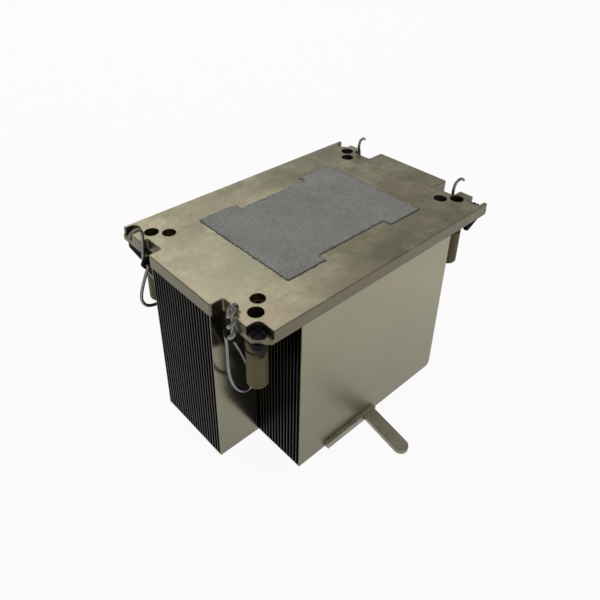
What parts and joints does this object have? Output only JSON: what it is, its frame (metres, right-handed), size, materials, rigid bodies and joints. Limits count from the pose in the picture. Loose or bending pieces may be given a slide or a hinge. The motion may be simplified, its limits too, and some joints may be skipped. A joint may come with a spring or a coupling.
{
  "type": "passive server cpu heatsink",
  "caption": "Tall passive finned heat sink for a server processor, with a cut-cornered base plate, thermal pad, captive nuts and swinging wire bails.",
  "frame": {"origin": "middle of the base plate's outline, projected on the plane of the fin tips", "axes": "+X along the fins and the air flow, +Y across the fins, +Z from the fin tips to the contact face"},
  "size_m": [0.1243, 0.0993, 0.0764],
  "materials": {
    "base_metal": "brushed, bright nickel plate",
    "fin_metal": "rolled sheet",
    "pad": "matt, stippled",
    "nut_plastic": "moulded, tan",
    "retainer_plastic": "moulded, black",
    "wire_steel": "drawn wire",
    "rivet_metal": "dull",
    "tab_metal": "dull, worn"
  },
  "bodies": {
    "heatsink": {"base_plate": "base_metal", "thermal_pad": "pad", "central_fin_01": "fin_metal", "central_fin_02": "fin_metal", "central_fin_03": "fin_metal", "central_fin_04": "fin_metal", "central_fin_05": "fin_metal", "central_fin_06": "fin_metal", "central_fin_07": "fin_metal", "central_fin_08": "fin_metal", "central_fin_09": "fin_metal", "central_fin_10": "fin_metal", "central_fin_11": "fin_metal", "central_fin_12": "fin_metal", "central_fin_13": "fin_metal", "central_fin_14": "fin_metal", "central_fin_15": "fin_metal", "central_fin_16": "fin_metal", "central_fin_17": "fin_metal", "central_fin_18": "fin_metal", "central_fin_19": "fin_metal", "central_fin_20": "fin_metal", "central_fin_21": "fin_metal", "central_fin_22": "fin_metal", "front_fin_01": "fin_metal", "front_fin_02": "fin_metal", "front_fin_03": "fin_metal", "front_fin_04": "fin_metal", "front_fin_05": "fin_metal", "front_fin_06": "fin_metal", "front_fin_07": "fin_metal", "front_fin_08": "fin_metal", "front_fin_09": "fin_metal", "front_fin_10": "fin_metal", "front_inner_fins": "fin_metal", "rear_fin_01": "fin_metal", "rear_fin_02": "fin_metal", "rear_fin_03": "fin_metal", "rear_fin_04": "fin_metal", "rear_fin_05": "fin_metal", "rear_fin_06": "fin_metal", "rear_fin_07": "fin_metal", "rear_fin_08": "fin_metal", "rear_fin_09": "fin_metal", "rear_fin_10": "fin_metal", "rear_inner_fins": "fin_metal", "nut_retainer_1": "retainer_plastic", "nut_retainer_2": "retainer_plastic", "nut_retainer_3": "retainer_plastic", "nut_retainer_4": "retainer_plastic", "retainer_rivets": "rivet_metal", "bent_tab": "tab_metal"},
    "nut_1": {"captive_nut_1": "nut_plastic"},
    "bail_1": {"wire_bail_1": "wire_steel"},
    "nut_2": {"captive_nut_2": "nut_plastic"},
    "bail_2": {"wire_bail_2": "wire_steel"},
    "nut_3": {"captive_nut_3": "nut_plastic"},
    "bail_3": {"wire_bail_3": "wire_steel"},
    "nut_4": {"captive_nut_4": "nut_plastic"},
    "bail_4": {"wire_bail_4": "wire_steel"}
  },
  "joints": [
    {"name": "nut_turn_1", "type": "hinge", "parent": "heatsink", "child": "nut_1", "pos_m": [-0.0507, -0.0291, 0.0485], "axis": [0, 0, 1], "continuous": true},
    {"name": "bail_swing_1", "type": "hinge", "parent": "heatsink", "child": "bail_1", "pos_m": [-0.0572, -0.0238, 0.062], "axis": [0, 1, 0], "range_deg": [-8, 2]},
    {"name": "nut_turn_2", "type": "hinge", "parent": "heatsink", "child": "nut_2", "pos_m": [-0.0507, 0.0291, 0.0485], "axis": [0, 0, 1], "continuous": true},
    {"name": "bail_swing_2", "type": "hinge", "parent": "heatsink", "child": "bail_2", "pos_m": [-0.0572, 0.0238, 0.062], "axis": [0, 1, 0], "range_deg": [-30, 12]},
    {"name": "nut_turn_3", "type": "hinge", "parent": "heatsink", "child": "nut_3", "pos_m": [0.0507, -0.0291, 0.0485], "axis": [0, 0, 1], "continuous": true},
    {"name": "bail_swing_3", "type": "hinge", "parent": "heatsink", "child": "bail_3", "pos_m": [0.0556, -0.0238, 0.062], "axis": [0, 1, 0], "range_deg": [-1.4, 12]},
    {"name": "nut_turn_4", "type": "hinge", "parent": "heatsink", "child": "nut_4", "pos_m": [0.0507, 0.0291, 0.0485], "axis": [0, 0, 1], "continuous": true},
    {"name": "bail_swing_4", "type": "hinge", "parent": "heatsink", "child": "bail_4", "pos_m": [0.0556, 0.0238, 0.062], "axis": [0, 1, 0], "range_deg": [-1, 30]}
  ]
}
